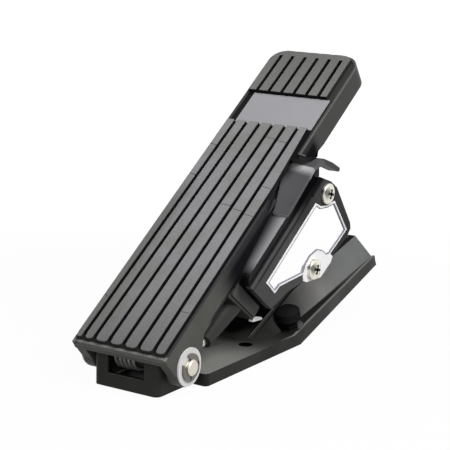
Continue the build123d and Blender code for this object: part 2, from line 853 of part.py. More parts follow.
# Bright leaf that springs from the heel corner of the sensor body
leaf_width = 3.0
with BuildPart() as sensor_clip:
    with BuildSketch(side(sensor_right - leaf_width)):
        Polygon(
            *below([(86.9, 59.7), (88.9, 59.53), (95.7, 67.0), (94.9, 68.1), (86.2, 61.2)]),
            align=None,
        )
    extrude(amount=leaf_width)
sensor_clip.part.label = "sensor_clip"
export_step(sensor_clip.part, "parts/sensor_clip.step")

# Rubber buffer on its stud at the foot of the arm
ring_radius = buffer_seat - 0.4
ring_height = 2.4
neck_height = 8.8
buffer_radius = 8.3
buffer_edge = 6.0
buffer_height = 9.0
stud_radius = 4.0
with BuildPart() as buffer_ring:
    with BuildSketch(ramp):
        Circle(ring_radius)
        Circle(stud_radius, mode=Mode.SUBTRACT)
    extrude(amount=ring_height)
buffer_ring.part.label = "buffer_ring"
export_step(buffer_ring.part, "parts/buffer_ring.step")

with BuildPart() as buffer_stud:
    with BuildSketch(ramp.offset(-5.0)):
        Circle(stud_radius)
    extrude(amount=neck_height + 5.0)
    with BuildSketch(ramp.offset(ring_height)):
        RegularPolygon(6.4, 6)
    extrude(amount=3.4)
buffer_stud.part.label = "buffer_stud"
export_step(buffer_stud.part, "parts/buffer_stud.step")

head_seat = ramp.offset(neck_height)
with BuildPart() as buffer_head:
    with BuildSketch(Plane(origin=head_seat.origin, x_dir=head_seat.z_dir, z_dir=(1, 0, 0))):
        with BuildLine():
            domed_profile(0.0, buffer_radius, buffer_edge, buffer_height)
        make_face()
    revolve(axis=Axis(head_seat.origin, head_seat.z_dir))
buffer_head.part.label = "buffer_head"
export_step(buffer_head.part, "parts/buffer_head.step")
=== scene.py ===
"""Looks for a floor-hinged accelerator pedal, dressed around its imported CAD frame."""

import math

import bmesh
import bpy
from mathutils import Matrix, Vector


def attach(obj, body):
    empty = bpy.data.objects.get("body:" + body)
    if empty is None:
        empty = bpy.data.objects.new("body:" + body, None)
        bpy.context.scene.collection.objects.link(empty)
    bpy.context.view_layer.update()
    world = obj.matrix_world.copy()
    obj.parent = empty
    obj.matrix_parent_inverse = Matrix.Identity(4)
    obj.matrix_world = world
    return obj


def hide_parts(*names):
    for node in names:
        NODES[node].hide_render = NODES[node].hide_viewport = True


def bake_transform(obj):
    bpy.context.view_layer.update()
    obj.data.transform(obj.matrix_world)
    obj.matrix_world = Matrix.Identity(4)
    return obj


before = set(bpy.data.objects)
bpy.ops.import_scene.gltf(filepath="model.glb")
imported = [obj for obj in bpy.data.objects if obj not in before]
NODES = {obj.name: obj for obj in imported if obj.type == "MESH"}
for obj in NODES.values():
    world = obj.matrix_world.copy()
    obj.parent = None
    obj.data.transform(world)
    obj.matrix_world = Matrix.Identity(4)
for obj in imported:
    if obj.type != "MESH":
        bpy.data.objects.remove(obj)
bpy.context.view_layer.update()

# Axes of the CAD frame
ORIGIN = Vector((0, 0, 0))
RIGHTWARD = Vector((1, 0, 0))
BACKWARD = Vector((0, 1, 0))
SKYWARD = Vector((0, 0, 1))

# Treadle plane in metres, as in the part: heel edge, direction to the toe, upward normal
REST_ANGLE = math.radians(35)
TOEWARD = Vector((0, math.cos(REST_ANGLE), math.sin(REST_ANGLE)))
UPWARD = Vector((0, -math.sin(REST_ANGLE), math.cos(REST_ANGLE)))
HINGE = Vector((0, 0, 0.018))
HEEL_BEFORE_HINGE = 0.014
HEEL_OVER_HINGE = 0.0205
HEEL = HINGE - HEEL_BEFORE_HINGE * TOEWARD + HEEL_OVER_HINGE * UPWARD

# Sizes in millimetres: faces of the bracket's cheek and of the window liner, height of the
# ribs over the tread plane, half width of the treadle, centre of its toe corner
CHEEK_FACE = 40.0
LINER_FACE = 40.6
RIB_TOP = 2.9
TREADLE_HALF = 35.0
TOE_CORNER = (21.5, 266.5)

# Camera fitted to the photograph: place in metres, angles in degrees, lens in millimetres
CAMERA_PLACE = Vector((0.5266, -0.72447, 0.29613))
CAMERA_HEADING = 32.84
CAMERA_ELEVATION = 12.29
CAMERA_ROLL = 1.4
CAMERA_LENS = 122.1
CAMERA_SENSOR = 36.0


def in_tread(x, along, depth):
    """Point from millimetres across, along from the heel and below the tread plane."""
    return Vector((x / 1000, 0, 0)) + HEEL + along / 1000 * TOEWARD - depth / 1000 * UPWARD


# Materials: noise scales per metre, relief in metres
FINE_GRAIN = 1300.0
PAINT_GRAIN = 1100.0
GRAIN_RELIEF = 0.0004
PAINT_MOTTLE = 30.0
MATTE_MOTTLE = 45.0
METAL_MOTTLE = 70.0
POLISH_SCALE = 120.0
POLISH_SPREAD = 0.05
PAINT_ROUGHNESS = 0.5
PAINT_GLOSS = 0.12


def grey(level):
    return (level, level, level)


def new_material(name):
    material = bpy.data.materials.new(name)
    material.use_nodes = True
    shader = material.node_tree.nodes["Principled BSDF"]
    return material, material.node_tree, shader


def add_node(tree, kind, **settings):
    node = tree.nodes.new(kind)
    for key, value in settings.items():
        setattr(node, key, value)
    return node


def feed(tree, socket, value):
    """Links a socket, or sets a number or a colour triple on it."""
    if isinstance(value, bpy.types.NodeSocket):
        tree.links.new(value, socket)
    elif isinstance(value, float):
        socket.default_value = value
    else:
        socket.default_value = (*value, 1)


def object_place(tree):
    return add_node(tree, "ShaderNodeTexCoord").outputs["Object"]


def noise_field(tree, scale, detail=3.0):
    noise = add_node(tree, "ShaderNodeTexNoise")
    noise.inputs["Scale"].default_value = scale
    noise.inputs["Detail"].default_value = detail
    tree.links.new(object_place(tree), noise.inputs["Vector"])
    return noise.outputs["Fac"]


def distance_along(tree, origin, direction):
    """Millimetres from a point along a direction, in object space."""
    shift = add_node(tree, "ShaderNodeVectorMath", operation="SUBTRACT")
    shift.inputs[1].default_value = origin
    dot = add_node(tree, "ShaderNodeVectorMath", operation="DOT_PRODUCT")
    dot.inputs[1].default_value = direction * 1000
    tree.links.new(object_place(tree), shift.inputs[0])
    tree.links.new(shift.outputs["Vector"], dot.inputs[0])
    return dot.outputs["Value"]


def step_between(tree, value, low, high, first=0.0, last=1.0):
    """Smooth change from first at low to last at high."""
    span = add_node(tree, "ShaderNodeMapRange", interpolation_type="SMOOTHSTEP")
    span.inputs["From Min"].default_value = low
    span.inputs["From Max"].default_value = high
    span.inputs["To Min"].default_value = first
    span.inputs["To Max"].default_value = last
    tree.links.new(value, span.inputs["Value"])
    return span.outputs["Result"]


def product(tree, *factors):
    result = factors[0]
    for factor in factors[1:]:
        times = add_node(tree, "ShaderNodeMath", operation="MULTIPLY")
        tree.links.new(result, times.inputs[0])
        tree.links.new(factor, times.inputs[1])
        result = times.outputs[0]
    return result


def within(tree, value, rise, full, fade, end):
    """1 from full to fade, 0 before rise and after end."""
    rising = step_between(tree, value, rise, full)
    return product(tree, rising, step_between(tree, value, end, fade))


def facing(tree, direction, low, high):
    """1 on faces turned along a direction of the rest pose, in object space."""
    geometry = add_node(tree, "ShaderNodeNewGeometry")
    turn = add_node(tree, "ShaderNodeVectorTransform", vector_type="NORMAL")
    turn.convert_from = "WORLD"
    turn.convert_to = "OBJECT"
    dot = add_node(tree, "ShaderNodeVectorMath", operation="DOT_PRODUCT")
    dot.inputs[1].default_value = direction
    tree.links.new(geometry.outputs["Normal"], turn.inputs["Vector"])
    tree.links.new(turn.outputs["Vector"], dot.inputs[0])
    return step_between(tree, dot.outputs["Value"], low, high)


def blend(tree, factor, first, second):
    """Colour mix; each side is a colour triple or a socket."""
    mix = add_node(tree, "ShaderNodeMix", data_type="RGBA")
    feed(tree, mix.inputs[6], first)
    feed(tree, mix.inputs[7], second)
    tree.links.new(factor, mix.inputs[0])
    return mix.outputs[2]


def tone_ramp(tree, value, stops):
    """Colour that changes along a value; stops are (value, colour) pairs in rising order."""
    start, end = stops[0][0], stops[-1][0]
    span = add_node(tree, "ShaderNodeMapRange")
    span.inputs["From Min"].default_value = start
    span.inputs["From Max"].default_value = end
    ramp = add_node(tree, "ShaderNodeValToRGB")
    while len(ramp.color_ramp.elements) < len(stops):
        ramp.color_ramp.elements.new(0.5)
    for element, (place, colour) in zip(ramp.color_ramp.elements, stops):
        element.position = (place - start) / (end - start)
        element.color = (*colour, 1)
    tree.links.new(value, span.inputs["Value"])
    tree.links.new(span.outputs["Result"], ramp.inputs["Fac"])
    return ramp.outputs["Color"]


def mottled(tree, colour, spread, scale):
    """Slow change of tone around a colour."""
    low = [c * (1 - spread) for c in colour]
    high = [c * (1 + spread) for c in colour]
    return blend(tree, step_between(tree, noise_field(tree, scale, 4.0), 0.3, 0.7), low, high)


def dapple(tree, colour, spread, scale):
    """Slow change of tone over a colour socket."""
    mix = add_node(tree, "ShaderNodeMix", data_type="RGBA", blend_type="MULTIPLY")
    mix.inputs[0].default_value = 1.0
    tree.links.new(colour, mix.inputs[6])
    tree.links.new(mottled(tree, grey(1.0), spread, scale), mix.inputs[7])
    return mix.outputs[2]


def coat(tree, shader, colour, roughness, gloss, grain=0.0, grain_scale=PAINT_GRAIN):
    """Colour, roughness, gloss and a fine relief from noise in object space."""
    feed(tree, shader.inputs["Base Color"], colour)
    shader.inputs["Roughness"].default_value = roughness
    feed(tree, shader.inputs["Specular IOR Level"], gloss)
    if grain:
        bump = add_node(tree, "ShaderNodeBump")
        bump.inputs["Strength"].default_value = grain
        bump.inputs["Distance"].default_value = GRAIN_RELIEF
        tree.links.new(noise_field(tree, grain_scale), bump.inputs["Height"])
        tree.links.new(bump.outputs["Normal"], shader.inputs["Normal"])


def matte(name, colour, roughness, grain=0.03, grain_scale=FINE_GRAIN, mottle=0.06, gloss=0.4):
    """Moulded or painted surface with fine grain and a slow change of tone."""
    material, tree, shader = new_material(name)
    tone = mottled(tree, colour, mottle, MATTE_MOTTLE)
    coat(tree, shader, tone, roughness, gloss, grain, grain_scale)
    return material


def metal(name, colour, roughness, share=1.0, dark_reflection=None):
    """Plated steel with slight changes of tone and polish, and a painted dark reflection in a
    wedge turned one way.
    """
    material, tree, shader = new_material(name)
    plating = mottled(tree, colour, 0.03, METAL_MOTTLE)
    # Painted dark reflection in a wedge of the head
    if dark_reflection:
        direction, across, reflection_tone = dark_reflection
        reflection_wedge = product(
            tree,
            facing(tree, direction, 0.03, 0.20),
            facing(tree, across, 0.36, 0.05),
            facing(tree, -across, 0.30, 0.03),
        )
        plating = blend(tree, reflection_wedge, plating, reflection_tone)
    tree.links.new(plating, shader.inputs["Base Color"])
    shader.inputs["Metallic"].default_value = share
    polish = add_node(tree, "ShaderNodeMapRange")
    polish.inputs["To Min"].default_value = roughness - POLISH_SPREAD
    polish.inputs["To Max"].default_value = roughness + POLISH_SPREAD
    tree.links.new(noise_field(tree, POLISH_SCALE), polish.inputs["Value"])
    tree.links.new(polish.outputs["Result"], shader.inputs["Roughness"])
    return material


def pad_rubber():
    """Grey rubber with olive patches, darker at both ends and on the left, with painted shade
    below the rib tops in the grooves and a painted highlight on the heel lip.
    """
    material, tree, shader = new_material("pad_rubber")
    height = distance_along(tree, HEEL, UPWARD)
    along = distance_along(tree, HEEL, TOEWARD)
    across = distance_along(tree, HEEL, RIGHTWARD)
    rib_tone = tone_ramp(
        tree,
        along,
        [
            (0.0, (0.150, 0.150, 0.148)),
            (40.0, (0.215, 0.214, 0.217)),
            (95.0, (0.262, 0.259, 0.273)),
            (180.0, (0.262, 0.259, 0.273)),
            (204.0, (0.250, 0.250, 0.254)),
            (235.0, (0.186, 0.186, 0.182)),
            (278.0, (0.146, 0.146, 0.141)),
        ],
    )
    olive_tone = tone_ramp(
        tree,
        along,
        [
            (0.0, (0.140, 0.141, 0.135)),
            (40.0, (0.186, 0.187, 0.178)),
            (95.0, (0.226, 0.226, 0.217)),
            (204.0, (0.226, 0.226, 0.218)),
            (235.0, (0.178, 0.179, 0.169)),
            (278.0, (0.142, 0.143, 0.135)),
        ],
    )
    patches = step_between(tree, noise_field(tree, 34.0), 0.38, 0.68)
    rib_tone = blend(tree, patches, rib_tone, olive_tone)
    on_left = step_between(tree, across, -16.0, -31.0)
    left_ribs = product(tree, on_left, step_between(tree, along, 160.0, 110.0))
    rib_tone = blend(tree, left_ribs, rib_tone, (0.158, 0.159, 0.151))
    rib_tone = dapple(tree, rib_tone, 0.06, 620.0)
    # Painted shade below the rib tops, on the rib sides and groove floors: near black, less at
    # the heel margin and on the right flank at the toe
    heel_margin = step_between(tree, along, 7.5, 3.5)
    groove_shade = blend(tree, heel_margin, (0.003, 0.003, 0.004), (0.026, 0.026, 0.025))
    on_right = step_between(tree, across, 28.6, 29.4)
    toe_flank = product(tree, on_right, step_between(tree, along, 232.0, 236.0))
    groove_shade = blend(tree, toe_flank, groove_shade, (0.034, 0.034, 0.033))
    # Painted highlight along the heel lip
    heel_lip_highlight = step_between(tree, along, 2.8, 2.2)
    groove_shade = blend(tree, heel_lip_highlight, groove_shade, (0.19, 0.19, 0.18))
    on_top = step_between(tree, height, RIB_TOP - 0.7, RIB_TOP - 0.1)
    paint = blend(tree, on_top, groove_shade, rib_tone)
    coat(tree, shader, paint, 0.8, PAINT_GLOSS, 0.08, FINE_GRAIN)
    return material


def treadle_paint():
    """Dark paint, greyer at the heel and the toe, with painted shade along the middle and the
    low edge of the wall and on its top faces, a painted highlight on the heel lip, painted
    light on the heel face, and no gloss in the painted shade of the middle.
    """
    material, tree, shader = new_material("treadle_paint")
    along = distance_along(tree, HEEL, TOEWARD)
    depth = distance_along(tree, HEEL, -UPWARD)
    near = mottled(tree, (0.078, 0.078, 0.071), 0.12, PAINT_MOTTLE)
    far = mottled(tree, (0.046, 0.046, 0.043), 0.08, PAINT_MOTTLE)
    # Painted shade along the middle, between the greyer heel and toe
    paint = blend(tree, step_between(tree, along, 52.0, 86.0), near, (0.009, 0.009, 0.011))
    paint = blend(tree, step_between(tree, along, 196.0, 206.0), paint, far)
    # Painted shade along the low edge of the wall
    low_edge_shade = step_between(tree, depth, 13.8, 15.4)
    low_edge_shade = product(tree, low_edge_shade, within(tree, along, 42.0, 50.0, 196.0, 206.0))
    paint = blend(tree, low_edge_shade, paint, grey(0.003))
    # Top faces painted darker as shade, with a painted highlight along the heel lip
    top = blend(tree, step_between(tree, along, 3.4, 2.8), grey(0.044), (0.20, 0.20, 0.19))
    paint = blend(tree, facing(tree, UPWARD, 0.90, 0.98), paint, top)
    # Painted light on the faces turned to the heel
    heel_face_light = facing(tree, -BACKWARD, 0.65, 0.85)
    paint = blend(tree, heel_face_light, paint, (0.085, 0.085, 0.080))
    shade = step_between(tree, depth, 1.0, 8.0)
    shade = product(tree, shade, within(tree, along, 55.0, 85.0, 196.0, 206.0))
    gloss = step_between(tree, shade, 0.0, 1.0, PAINT_GLOSS, 0.0)
    coat(tree, shader, paint, PAINT_ROUGHNESS, gloss, 0.05)
    return material


def bracket_paint():
    """Dark paint with bands of painted shade along the web, painted shade on the inner side and
    towards the toe end, a pale flange top beside the treadle with painted shadow on its left,
    and no gloss at the toe end.
    """
    material, tree, shader = new_material("bracket_paint")
    depth = distance_along(tree, HEEL, -UPWARD)
    across = distance_along(tree, HEEL, RIGHTWARD)
    along = distance_along(tree, HEEL, TOEWARD)
    # Middle band of the web, darkening towards the toe end as painted shade
    web_band_shade = tone_ramp(
        tree,
        along,
        [
            (110.0, (0.066, 0.066, 0.069)),
            (148.0, (0.056, 0.056, 0.058)),
            (166.0, (0.014, 0.014, 0.015)),
            (182.0, (0.008, 0.008, 0.009)),
        ],
    )
    paint = mottled(tree, (0.052, 0.052, 0.053), 0.12, PAINT_MOTTLE)
    # Bands of painted shade on the web above its lower part: dark, the middle band, then near
    # black beside the flange
    paint = blend(tree, step_between(tree, depth, 30.3, 29.6), paint, (0.018, 0.018, 0.019))
    paint = blend(tree, step_between(tree, depth, 28.2, 27.6), paint, web_band_shade)
    paint = blend(tree, step_between(tree, depth, 25.0, 24.2), paint, (0.004, 0.004, 0.005))
    # Painted shade on the inner side, under the treadle
    paint = blend(tree, step_between(tree, across, 36.0, 34.0), paint, (0.006, 0.006, 0.007))
    # Pale flange top, with painted shadow from the treadle wall on its left
    slanted = distance_along(tree, HEEL, RIGHTWARD + 0.06 * TOEWARD)
    bright_side = step_between(tree, slanted, 35.0, 48.0)
    pale = blend(tree, bright_side, (0.03, 0.03, 0.032), (0.34, 0.34, 0.35))
    strip = product(
        tree,
        facing(tree, UPWARD, 0.80, 0.97),
        step_between(tree, depth, 20.0, 19.2),
        step_between(tree, along, 88.0, 104.0),
    )
    paint = blend(tree, strip, paint, pale)
    gloss = step_between(tree, along, 138.0, 158.0, PAINT_GLOSS, 0.0)
    coat(tree, shader, paint, PAINT_ROUGHNESS, gloss, 0.05)
    return material


def strap_paint():
    """Grey paint, lighter on the left under the treadle as painted light, with a painted
    highlight along the bend, painted shade beyond it, a darker ear and painted light on its
    lower end face.
    """
    material, tree, shader = new_material("strap_paint")
    bend_way = TOEWARD + 0.16 * RIGHTWARD
    along = distance_along(tree, HEEL + 0.029 * RIGHTWARD, bend_way)
    across = distance_along(tree, HEEL, RIGHTWARD)
    # Painted light on the left, in the treadle's shadow, fading to the right
    plain = tone_ramp(
        tree,
        across,
        [
            (17.0, (0.150, 0.150, 0.157)),
            (40.0, (0.082, 0.082, 0.086)),
        ],
    )
    bend_highlight_tone = tone_ramp(
        tree,
        across,
        [
            (17.0, (0.95, 0.95, 0.97)),
            (26.0, (0.90, 0.90, 0.92)),
            (31.0, (0.58, 0.58, 0.60)),
            (40.0, (0.40, 0.40, 0.41)),
        ],
    )
    # Painted highlight along the bend, brightest on the left in the treadle's shadow
    bend_highlight = step_between(tree, along, 177.0, 184.5)
    paint = blend(tree, bend_highlight, dapple(tree, plain, 0.06, PAINT_MOTTLE), bend_highlight_tone)
    # Painted shade beyond the bend, then a darker tone on the ear
    beyond_bend_shade = step_between(tree, along, 185.0, 186.2)
    paint = blend(tree, beyond_bend_shade, paint, (0.085, 0.085, 0.089))
    paint = blend(tree, step_between(tree, along, 196.0, 201.0), paint, grey(0.034))
    # Painted light on the lower end face
    end_face_light = facing(tree, -TOEWARD, 0.6, 0.85)
    end_face_light = product(tree, end_face_light, step_between(tree, along, 176.0, 170.0))
    paint = blend(tree, end_face_light, paint, (0.36, 0.36, 0.37))
    coat(tree, shader, paint, 0.45, 0.15)
    return material


def base_paint():
    """Cast base: paler deck and hump, with painted light on the hump faces, painted shade on
    the walls, under the treadle, in the bolt hole, the chamber and under the boot, painted
    highlights on the rim and fin tops, and less gloss towards the back.
    """
    material, tree, shader = new_material("base_paint")
    across = distance_along(tree, ORIGIN, RIGHTWARD)
    back = distance_along(tree, ORIGIN, BACKWARD)
    # Walls: painted shade, darkest from 20 to 50 mm back and lighter towards the back
    side = tone_ramp(
        tree,
        back,
        [
            (0.0, (0.026, 0.026, 0.023)),
            (20.0, (0.012, 0.012, 0.011)),
            (50.0, (0.013, 0.013, 0.012)),
            (96.0, (0.038, 0.038, 0.035)),
            (130.0, (0.050, 0.050, 0.047)),
            (180.0, (0.082, 0.082, 0.080)),
        ],
    )
    side = dapple(tree, side, 0.15, PAINT_MOTTLE)
    # Painted shade in the bolt hole
    bolt_hole_shade = within(tree, across, 10.0, 12.0, 29.0, 31.0)
    bolt_hole_shade = product(tree, bolt_hole_shade, within(tree, back, 72.0, 74.0, 96.0, 98.0))
    side = blend(tree, bolt_hole_shade, side, grey(0.002))
    # Deck: pale at the front, with painted shadow deepening towards the back under the treadle
    deck_with_shadow = tone_ramp(
        tree,
        back,
        [
            (45.0, (0.160, 0.160, 0.146)),
            (58.0, (0.150, 0.150, 0.137)),
            (68.0, (0.115, 0.115, 0.105)),
            (78.0, (0.085, 0.085, 0.078)),
            (90.0, (0.055, 0.055, 0.050)),
            (104.0, (0.038, 0.038, 0.035)),
            (118.0, (0.022, 0.022, 0.021)),
            (135.0, (0.016, 0.016, 0.015)),
        ],
    )
    deck_with_shadow = dapple(tree, deck_with_shadow, 0.12, PAINT_MOTTLE)
    # Painted shade on the left under the treadle
    inner_shade = step_between(tree, across, 6.0, -4.0)
    inner_shade = product(tree, inner_shade, step_between(tree, back, 98.0, 112.0))
    deck_with_shadow = blend(tree, inner_shade, deck_with_shadow, grey(0.004))
    # Painted shadow under the lead boot
    boot_shadow = within(tree, back, 60.0, 68.0, 76.0, 84.0)
    boot_shadow = product(tree, boot_shadow, step_between(tree, across, 9.0, 3.0))
    deck_with_shadow = blend(tree, boot_shadow, deck_with_shadow, grey(0.010))
    # Painted highlight along the rim top
    rim_top_highlight = step_between(tree, across, 33.2, 33.6)
    rim_top_highlight = product(tree, rim_top_highlight, step_between(tree, back, 104.0, 128.0))
    deck_with_shadow = blend(tree, rim_top_highlight, deck_with_shadow, (0.16, 0.16, 0.15))
    paint = blend(tree, facing(tree, SKYWARD, 0.55, 0.90), side, deck_with_shadow)
    # Painted shade in the spring chamber
    chamber_shade = within(tree, across, -15.0, -14.0, 14.0, 15.0)
    chamber_shade = product(tree, chamber_shade, within(tree, back, -14.5, -13.5, 12.0, 14.0))
    paint = blend(tree, chamber_shade, paint, grey(0.003))
    # Painted light on the hump faces turned up and to the right
    hump_light_tone = tone_ramp(
        tree,
        back,
        [
            (112.0, (0.030, 0.030, 0.029)),
            (140.0, (0.050, 0.050, 0.048)),
            (160.0, (0.175, 0.175, 0.168)),
            (178.0, (0.215, 0.212, 0.207)),
            (210.0, (0.140, 0.143, 0.143)),
        ],
    )
    hump_light = facing(tree, Vector((0.6, 0, 0.8)), 0.80, 0.92)
    hump_light = product(tree, hump_light, step_between(tree, back, 112.0, 140.0))
    paint = blend(tree, hump_light, paint, dapple(tree, hump_light_tone, 0.10, 40.0))
    # Painted highlight on the fin top
    fin_highlight = product(
        tree,
        within(tree, across, 12.7, 12.9, 14.2, 14.5),
        facing(tree, Vector((0, -0.45, 0.89)), 0.70, 0.85),
        step_between(tree, back, 100.0, 106.0),
    )
    paint = blend(tree, fin_highlight, paint, grey(0.12))
    gloss = step_between(tree, back, 50.0, 96.0, PAINT_GLOSS, 0.0)
    coat(tree, shader, paint, PAINT_ROUGHNESS, gloss, 0.06)
    return material


# Painted dark reflection on the screw heads, in a wedge: its middle, the way across it and its
# tone
SCREW_DARK_REFLECTION = (
    0.83 * UPWARD - 0.56 * TOEWARD,
    -0.56 * UPWARD - 0.83 * TOEWARD,
    (0.17, 0.165, 0.15),
)

finishes = {
    "base_casting": base_paint(),
    "treadle_shell": treadle_paint(),
    "tread_pad": pad_rubber(),
    "badge_plate": matte(
        "badge_grey", (0.335, 0.332, 0.350), 0.5, 0.02, 1600.0, mottle=0.01, gloss=0.12
    ),
    "bracket_frame": bracket_paint(),
    "support_strap": strap_paint(),
    "window_liner": matte("liner_white", (0.97, 0.97, 0.985), 0.35, mottle=0.02),
    "bracket_screws": metal("screw_nickel", (0.80, 0.77, 0.68), 0.26, 0.85, SCREW_DARK_REFLECTION),
    "flange_screws": metal("flange_screw_steel", (0.55, 0.54, 0.52), 0.35),
    "hinge_pin": metal("pin_steel", (0.70, 0.66, 0.57), 0.42),
    "retaining_clips": metal("clip_steel", (0.17, 0.160, 0.145), 0.5, 0.6),
    "pin_washers": matte("washer_plastic", (0.72, 0.72, 0.715), 0.4),
    "return_spring": metal("spring_steel", (0.26, 0.26, 0.25), 0.5, 0.3),
    "spring_sleeve": matte("sleeve_plastic", grey(0.006), 0.7),
    "hinge_bushes": matte("bush_plastic", grey(0.03), 0.5, gloss=0.12),
    "buffer_head": matte("buffer_rubber", (0.014, 0.014, 0.015), 0.6, 0.05, gloss=0.0),
    "buffer_stud": matte("stud_steel", grey(0.004), 0.4, gloss=0.15),
    "buffer_ring": matte("ring_rubber", grey(0.010), 0.25, gloss=0.6),
    "sensor_body": matte("sensor_plastic", (0.052, 0.052, 0.050), 0.5, 0.04, gloss=0.12),
    "sensor_cover": matte("cover_plastic", (0.075, 0.075, 0.073), 0.5, 0.04, gloss=0.12),
    "sensor_boot": matte("boot_rubber", (0.032, 0.032, 0.030), 0.5, 0.04, gloss=0.12),
    "lead_nipple": metal("nipple_metal", (0.50, 0.50, 0.48), 0.35),
    "sensor_clip": matte("leaf_white", grey(0.95), 0.3),
}
for node, material in finishes.items():
    NODES[node].data.materials.clear()
    NODES[node].data.materials.append(material)

# Rounded edges on the CAD solids, width in metres
EDGE_ROUNDING = {
    "base_casting": 0.0011,
    "treadle_shell": 0.0010,
    "tread_pad": 0.0006,
    "bracket_frame": 0.0008,
    "support_strap": 0.0005,
    "window_liner": 0.0002,
    "sensor_body": 0.0009,
    "sensor_cover": 0.0004,
    "hinge_pin": 0.0003,
    "pin_washers": 0.0003,
    "retaining_clips": 0.0002,
    "buffer_stud": 0.0003,
}


def round_edges(piece, width, segments, angle, harden):
    bevel = piece.modifiers.new("edge_rounding", "BEVEL")
    bevel.width = width
    bevel.segments = segments
    bevel.limit_method = "ANGLE"
    bevel.angle_limit = math.radians(angle)
    bevel.harden_normals = harden


for node, width in EDGE_ROUNDING.items():
    round_edges(NODES[node], width, segments=3, angle=35.0, harden=True)

# Small pieces beside the CAD nodes; their sizes are in millimetres


def add_piece(name, points, faces, material, body):
    mesh = bpy.data.meshes.new(name)
    mesh.from_pydata([tuple(p) for p in points], [], faces)
    shape = bmesh.new()
    shape.from_mesh(mesh)
    bmesh.ops.recalc_face_normals(shape, faces=shape.faces)
    shape.to_mesh(mesh)
    shape.free()
    mesh.materials.append(material)
    piece = bpy.data.objects.new(name, mesh)
    bpy.context.scene.collection.objects.link(piece)
    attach(piece, body)
    return piece


def grid_faces(first, rows, columns, wrap_rows, wrap_columns):
    """Quads over rows of points; wrapping joins the last row or column to the first."""
    faces = []
    for row in range(rows if wrap_rows else rows - 1):
        here = first + row * columns
        there = first + (row + 1) % rows * columns
        for column in range(columns if wrap_columns else columns - 1):
            other = (column + 1) % columns
            faces.append((here + column, here + other, there + other, there + column))
    return faces


def prism_faces(first, count):
    """Two caps of count points each, one after the other, and the sides between them."""
    near_cap = tuple(range(first, first + count))
    far_cap = tuple(range(first + count, first + 2 * count))
    return [near_cap, far_cap] + grid_faces(first, 2, count, False, True)


def corner_arc(centre, radius, angles, side=1):
    """Points round a corner of the treadle, mirrored to the left with side -1."""
    arc = []
    for degrees in angles:
        angle = math.radians(degrees)
        across = side * (centre[0] + radius * math.cos(angle))
        arc.append((across, centre[1] + radius * math.sin(angle)))
    return arc


# Moulding seams across single ribs: left x, along, right x, along
SEAMS = [
    (-32.4, 178.4, -26.6, 177.4),
    (-32.4, 148.7, -26.0, 147.9),
    (5.1, 190.4, 13.0, 189.3),
    (16.3, 188.3, 22.6, 187.3),
    (25.6, 146.0, 32.2, 145.0),
    (5.4, 126.1, 13.0, 125.7),
    (15.6, 123.4, 23.6, 122.3),
    (26.2, 120.3, 32.4, 119.4),
    (26.6, 36.0, 32.4, 35.9),
    (-32.4, 37.1, -29.4, 36.9),
]
SEAM_HALF = 0.2
SEAM_PROUD = 0.03
SEAM_SUNK = 0.3
seam_points = []
seam_faces = []
for left, near, right, far in SEAMS:
    seam_faces += prism_faces(len(seam_points), 4)
    for depth in (-RIB_TOP - SEAM_PROUD, -RIB_TOP + SEAM_SUNK):
        seam_points += [
            in_tread(left, near - SEAM_HALF, depth),
            in_tread(right, far - SEAM_HALF, depth),
            in_tread(right, far + SEAM_HALF, depth),
            in_tread(left, near + SEAM_HALF, depth),
        ]
seam_dark = matte("seam_dark", grey(0.03), 0.8, gloss=0.1)
add_piece("rib_seams", seam_points, seam_faces, seam_dark, "treadle")

# Dark webs of painted shade at the end of the toe wall, under the strap and below the return of
# the bracket: reach across, then the outline along and below
WEBS = [
    (
        (30.8, 34.2),
        [(180.9, 0.6), (186.2, 6.0), (197.5, 17.1), (196.0, 17.9), (184.2, 8.2), (179.4, 2.6)],
    ),
    (
        (38.2, 39.9),
        [
            (181.5, 16.4), (184.5, 16.6), (189.5, 18.1), (188.9, 19.2),
            (186.5, 23.2), (185.0, 23.5), (181.5, 19.5),
        ],
    ),
    ((20.5, 36.2), [(100.5, 55.0), (103.8, 55.0), (105.6, 63.0), (103.0, 63.0)]),
]
web_points = []
web_faces = []
for reach, outline in WEBS:
    web_faces += prism_faces(len(web_points), len(outline))
    for x in reach:
        web_points += [in_tread(x, along, depth) for along, depth in outline]
# Near black, as painted shade
web_shade = matte("web_shade", (0.006, 0.006, 0.007), 0.6, gloss=0.12)
add_piece("shade_webs", web_points, web_faces, web_shade, "treadle")

# Grey bead along the inner edge of the window liner: outline of the window along and below
WINDOW = [
    (99.7, 36.0), (173.2, 35.8), (176.6, 41.9), (184.1, 47.8), (192.6, 52.2),
    (194.7, 81.7), (168.3, 79.6), (163.7, 76.8), (161.2, 70.6), (157.0, 65.4),
    (148.7, 62.4), (141.2, 62.9), (136.4, 65.6), (110.0, 49.7), (103.1, 49.1),
]
LINER_EDGE = 1.25
BEAD_LAP = 0.15
BEAD_WIDTH = 0.6
BEAD_PROUD = 0.05
BEAD_SUNK = 0.8
SHARPEST_MITRE = 0.3


def inset(outline, distance):
    """Outline moved inward with mitred corners."""
    count = len(outline)
    moved = []
    for i in range(count):
        before, here, after = (Vector(outline[(i + k) % count]) for k in (-1, 0, 1))
        first = (here - before).normalized()
        second = (after - here).normalized()
        inward_one = Vector((-first.y, first.x))
        inward_two = Vector((-second.y, second.x))
        middle = (inward_one + inward_two).normalized()
        moved.append(here + middle * distance / max(middle.dot(inward_one), SHARPEST_MITRE))
    return moved


